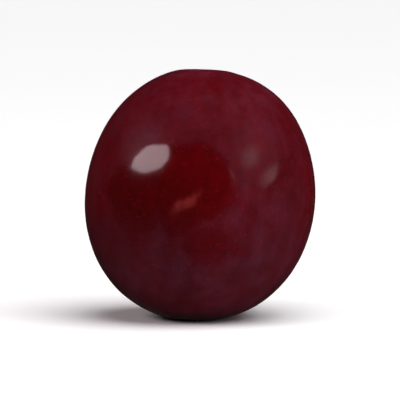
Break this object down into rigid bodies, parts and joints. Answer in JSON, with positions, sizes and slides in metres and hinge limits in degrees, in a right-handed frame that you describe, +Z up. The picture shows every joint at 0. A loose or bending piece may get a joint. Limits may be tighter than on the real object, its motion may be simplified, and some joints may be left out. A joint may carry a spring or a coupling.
{
  "type": "plum",
  "caption": "Whole dark red plum with broad shoulders, a stem hollow, a crease to the tip and no stem, standing on a small flat spot.",
  "frame": {"origin": "middle of the fruit's outline, on the surface that it rests on", "axes": "+Z up, about along the stem's axis with the stem end on top; -Y is the front; the crease runs down the +X side"},
  "size_m": [0.0506, 0.049, 0.055],
  "materials": {
    "skin": "waxed skin, deep red to purple, glossy where the pale bloom is rubbed off"
  },
  "bodies": {
    "root": {"plum": "skin"}
  },
  "joints": []
}
